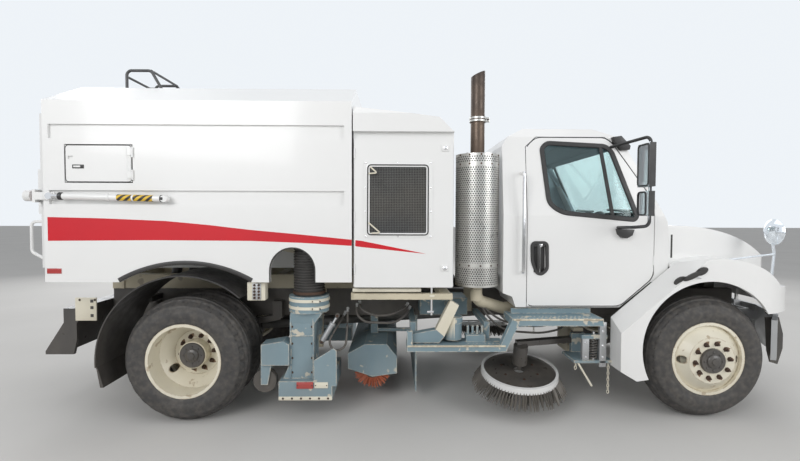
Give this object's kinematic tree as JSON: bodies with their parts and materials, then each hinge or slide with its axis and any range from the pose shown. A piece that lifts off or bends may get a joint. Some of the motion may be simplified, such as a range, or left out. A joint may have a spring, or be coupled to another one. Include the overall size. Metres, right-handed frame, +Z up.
{
  "type": "street sweeper truck",
  "caption": "Two-axle truck with a vacuum street sweeper body: tilting hopper, engine housing, suction nozzles, gutter brooms and a cross broom behind a bonneted cab.",
  "frame": {"origin": "on the ground, below the middle of the truck's length and width", "axes": "+X forward, +Y to the truck's left, +Z up"},
  "size_m": [6.608, 2.73, 3.134],
  "materials": {
    "white_paint": "gloss",
    "black_paint": "satin",
    "frame_paint": "satin",
    "beige_paint": "satin",
    "blue_grey_paint": "satin",
    "silver_paint": "satin",
    "wheel_paint": "satin",
    "tyre_rubber": "matte",
    "clear_glass": "gloss",
    "interior_trim": "matte",
    "black_plastic": "matte",
    "hose_rubber": "matte",
    "engine_metal": "satin",
    "stack_steel": "satin",
    "shield_steel": "satin",
    "rod_chrome": "polished",
    "mirror_finish": "polished",
    "dark_bristle": "matte",
    "orange_bristle": "matte"
  },
  "bodies": {
    "chassis": {"frame_rails": "frame_paint", "frame_crossmembers": "frame_paint", "front_axle": "frame_paint", "rear_axle": "frame_paint", "chassis_engine": "engine_metal", "front_bumper": "silver_paint", "cab_shell": "white_paint", "cab_glass": "clear_glass", "cab_interior": "interior_trim", "cab_steps": "blue_grey_paint", "side_gear": "blue_grey_paint", "exhaust_stack": "stack_steel", "heat_shield": "shield_steel", "rear_fenders": "black_plastic", "rear_bumper": "black_paint", "sweeper_frame": "beige_paint", "engine_housing": "white_paint", "auxiliary_engine": "engine_metal", "broom_cover": "blue_grey_paint"},
    "steering_right": {"knuckle_right": "frame_paint"},
    "steering_left": {"knuckle_left": "frame_paint"},
    "track_rod": {"tie_rod": "frame_paint"},
    "bonnet": {"hood": "white_paint", "grille": "black_plastic", "headlamps": "clear_glass", "hood_mirrors": "mirror_finish"},
    "hopper": {"hopper_shell": "white_paint", "beacon_guard": "black_paint"},
    "inspection_panel": {"inspection_door": "white_paint"},
    "tailgate": {"rear_door": "white_paint"},
    "tailgate_barrels": {"door_cylinder_barrels": "white_paint"},
    "tailgate_rods": {"door_cylinder_rods": "rod_chrome"},
    "lift_barrels": {"lift_ram_barrels": "black_paint"},
    "lift_rods": {"lift_ram_rods": "rod_chrome"},
    "cross_broom": {"extension_broom": "orange_bristle"},
    "wheel_front_right": {"tyre_front_right": "tyre_rubber", "rim_front_right": "wheel_paint"},
    "wheel_rear_right": {"tyre_rear_right": "tyre_rubber", "rim_rear_right": "wheel_paint"},
    "cab_door_right": {"door_right": "white_paint", "door_glass_right": "clear_glass"},
    "housing_door_right": {"engine_door_right": "white_paint"},
    "suction_head_right": {"nozzle_right": "blue_grey_paint", "suction_hose_right": "hose_rubber"},
    "caster_wheel_right": {"caster_right": "hose_rubber"},
    "broom_arm_right": {"gutter_arm_right": "black_paint"},
    "side_broom_right": {"gutter_broom_right": "dark_bristle"},
    "wheel_front_left": {"tyre_front_left": "tyre_rubber", "rim_front_left": "wheel_paint"},
    "wheel_rear_left": {"tyre_rear_left": "tyre_rubber", "rim_rear_left": "wheel_paint"},
    "cab_door_left": {"door_left": "white_paint", "door_glass_left": "clear_glass"},
    "housing_door_left": {"engine_door_left": "white_paint"},
    "suction_head_left": {"nozzle_left": "blue_grey_paint", "suction_hose_left": "hose_rubber"},
    "caster_wheel_left": {"caster_left": "hose_rubber"},
    "broom_arm_left": {"gutter_arm_left": "black_paint"},
    "side_broom_left": {"gutter_broom_left": "dark_bristle"}
  },
  "joints": [
    {"name": "steer_left", "type": "hinge", "parent": "chassis", "child": "steering_left", "pos_m": [2.314, 0.865, 0.512], "axis": [0, 0, 1], "range_deg": [-35, 35]},
    {"name": "steer_right", "type": "hinge", "parent": "chassis", "child": "steering_right", "pos_m": [2.314, -0.865, 0.512], "axis": [0, 0, 1], "range_deg": [-35, 35]},
    {"name": "track_rod_slide", "type": "slide", "parent": "chassis", "child": "track_rod", "axis": [0, 1, 0], "range_m": [-0.092, 0.092]},
    {"name": "cab_door_right_swing", "type": "hinge", "parent": "chassis", "child": "cab_door_right", "pos_m": [1.909, -1.02, 1.6], "axis": [0, 0, 1], "range_deg": [0, 65]},
    {"name": "cab_door_left_swing", "type": "hinge", "parent": "chassis", "child": "cab_door_left", "pos_m": [1.909, 1.02, 1.6], "axis": [0, 0, -1], "range_deg": [0, 65]},
    {"name": "bonnet_tilt", "type": "hinge", "parent": "chassis", "child": "bonnet", "pos_m": [3.229, 0, 0.832], "axis": [0, 1, 0], "range_deg": [0, 55]},
    {"name": "hopper_tilt", "type": "hinge", "parent": "chassis", "child": "hopper", "pos_m": [-2.966, 0, 1.13], "axis": [0, -1, 0], "range_deg": [0, 50]},
    {"name": "lift_barrel_swing", "type": "hinge", "parent": "chassis", "child": "lift_barrels", "pos_m": [-2.586, 0, 0.65], "axis": [0, -1, 0], "range_deg": [-1, 22]},
    {"name": "lift_rod_slide", "type": "slide", "parent": "lift_barrels", "child": "lift_rods", "axis": [0.1521, 0, 0.9884], "range_m": [0, 0.322]},
    {"name": "tailgate_swing", "type": "hinge", "parent": "hopper", "child": "tailgate", "pos_m": [-3.116, 0, 2.532], "axis": [0, 1, 0], "range_deg": [0, 55]},
    {"name": "tailgate_barrel_swing", "type": "hinge", "parent": "hopper", "child": "tailgate_barrels", "pos_m": [-2.103, 0, 1.824], "axis": [0, 1, 0], "range_deg": [-1, 9]},
    {"name": "tailgate_rod_slide", "type": "slide", "parent": "tailgate_barrels", "child": "tailgate_rods", "axis": [-0.9998, 0, 0.0222], "range_m": [0, 0.63]},
    {"name": "inspection_door_swing", "type": "hinge", "parent": "hopper", "child": "inspection_panel", "pos_m": [-2.366, -1.229, 2.101], "axis": [0, 0, 1], "range_deg": [0, 100]},
    {"name": "housing_door_right_swing", "type": "hinge", "parent": "chassis", "child": "housing_door_right", "pos_m": [-0.616, -1.225, 1.7], "axis": [0, 0, -1], "range_deg": [0, 90]},
    {"name": "housing_door_left_swing", "type": "hinge", "parent": "chassis", "child": "housing_door_left", "pos_m": [-0.616, 1.225, 1.7], "axis": [0, 0, 1], "range_deg": [0, 90]},
    {"name": "cross_broom_spin", "type": "hinge", "parent": "chassis", "child": "cross_broom", "pos_m": [-0.493, 0, 0.312], "axis": [0, 1, 0], "continuous": true},
    {"name": "wheel_front_right_spin", "type": "hinge", "parent": "steering_right", "child": "wheel_front_right", "pos_m": [2.314, -1.03, 0.512], "axis": [0, 1, 0], "continuous": true},
    {"name": "wheel_rear_right_spin", "type": "hinge", "parent": "chassis", "child": "wheel_rear_right", "pos_m": [-2.004, -1.08, 0.512], "axis": [0, 1, 0], "continuous": true},
    {"name": "suction_head_right_lift", "type": "slide", "parent": "chassis", "child": "suction_head_right", "axis": [0, 0, 1], "range_m": [-0.17, 0], "deforming": ["suction_hose_right"]},
    {"name": "caster_right_spin", "type": "hinge", "parent": "suction_head_right", "child": "caster_wheel_right", "pos_m": [-1.366, -1.1, 0.33], "axis": [0, 1, 0], "continuous": true},
    {"name": "broom_arm_right_swing", "type": "hinge", "parent": "chassis", "child": "broom_arm_right", "pos_m": [1.364, -0.76, 0.55], "axis": [0, 0, 1], "range_deg": [0, 40]},
    {"name": "side_broom_right_spin", "type": "hinge", "parent": "broom_arm_right", "child": "side_broom_right", "pos_m": [0.804, -0.9, 0.335], "axis": [0, -0.1908, 0.9816], "continuous": true},
    {"name": "wheel_front_left_spin", "type": "hinge", "parent": "steering_left", "child": "wheel_front_left", "pos_m": [2.314, 1.03, 0.512], "axis": [0, 1, 0], "continuous": true},
    {"name": "wheel_rear_left_spin", "type": "hinge", "parent": "chassis", "child": "wheel_rear_left", "pos_m": [-2.004, 1.08, 0.512], "axis": [0, 1, 0], "continuous": true},
    {"name": "suction_head_left_lift", "type": "slide", "parent": "chassis", "child": "suction_head_left", "axis": [0, 0, 1], "range_m": [-0.17, 0], "deforming": ["suction_hose_left"]},
    {"name": "caster_left_spin", "type": "hinge", "parent": "suction_head_left", "child": "caster_wheel_left", "pos_m": [-1.366, 1.1, 0.33], "axis": [0, 1, 0], "continuous": true},
    {"name": "broom_arm_left_swing", "type": "hinge", "parent": "chassis", "child": "broom_arm_left", "pos_m": [1.364, 0.76, 0.55], "axis": [0, 0, -1], "range_deg": [0, 40]},
    {"name": "side_broom_left_spin", "type": "hinge", "parent": "broom_arm_left", "child": "side_broom_left", "pos_m": [0.804, 0.9, 0.335], "axis": [0, 0.1908, 0.9816], "continuous": true}
  ],
  "couplings": [
    {"joint": "steer_right", "follows": "steer_left", "ratio": 1},
    {"joint": "track_rod_slide", "follows": "steer_left", "m_per_rad": -0.15},
    {"joint": "lift_barrel_swing", "follows": "hopper_tilt", "ratio": 0.4129},
    {"joint": "lift_rod_slide", "follows": "hopper_tilt", "m_per_rad": 0.36709},
    {"joint": "tailgate_barrel_swing", "follows": "tailgate_swing", "ratio": 0.129},
    {"joint": "tailgate_rod_slide", "follows": "tailgate_swing", "m_per_rad": 0.65312}
  ]
}
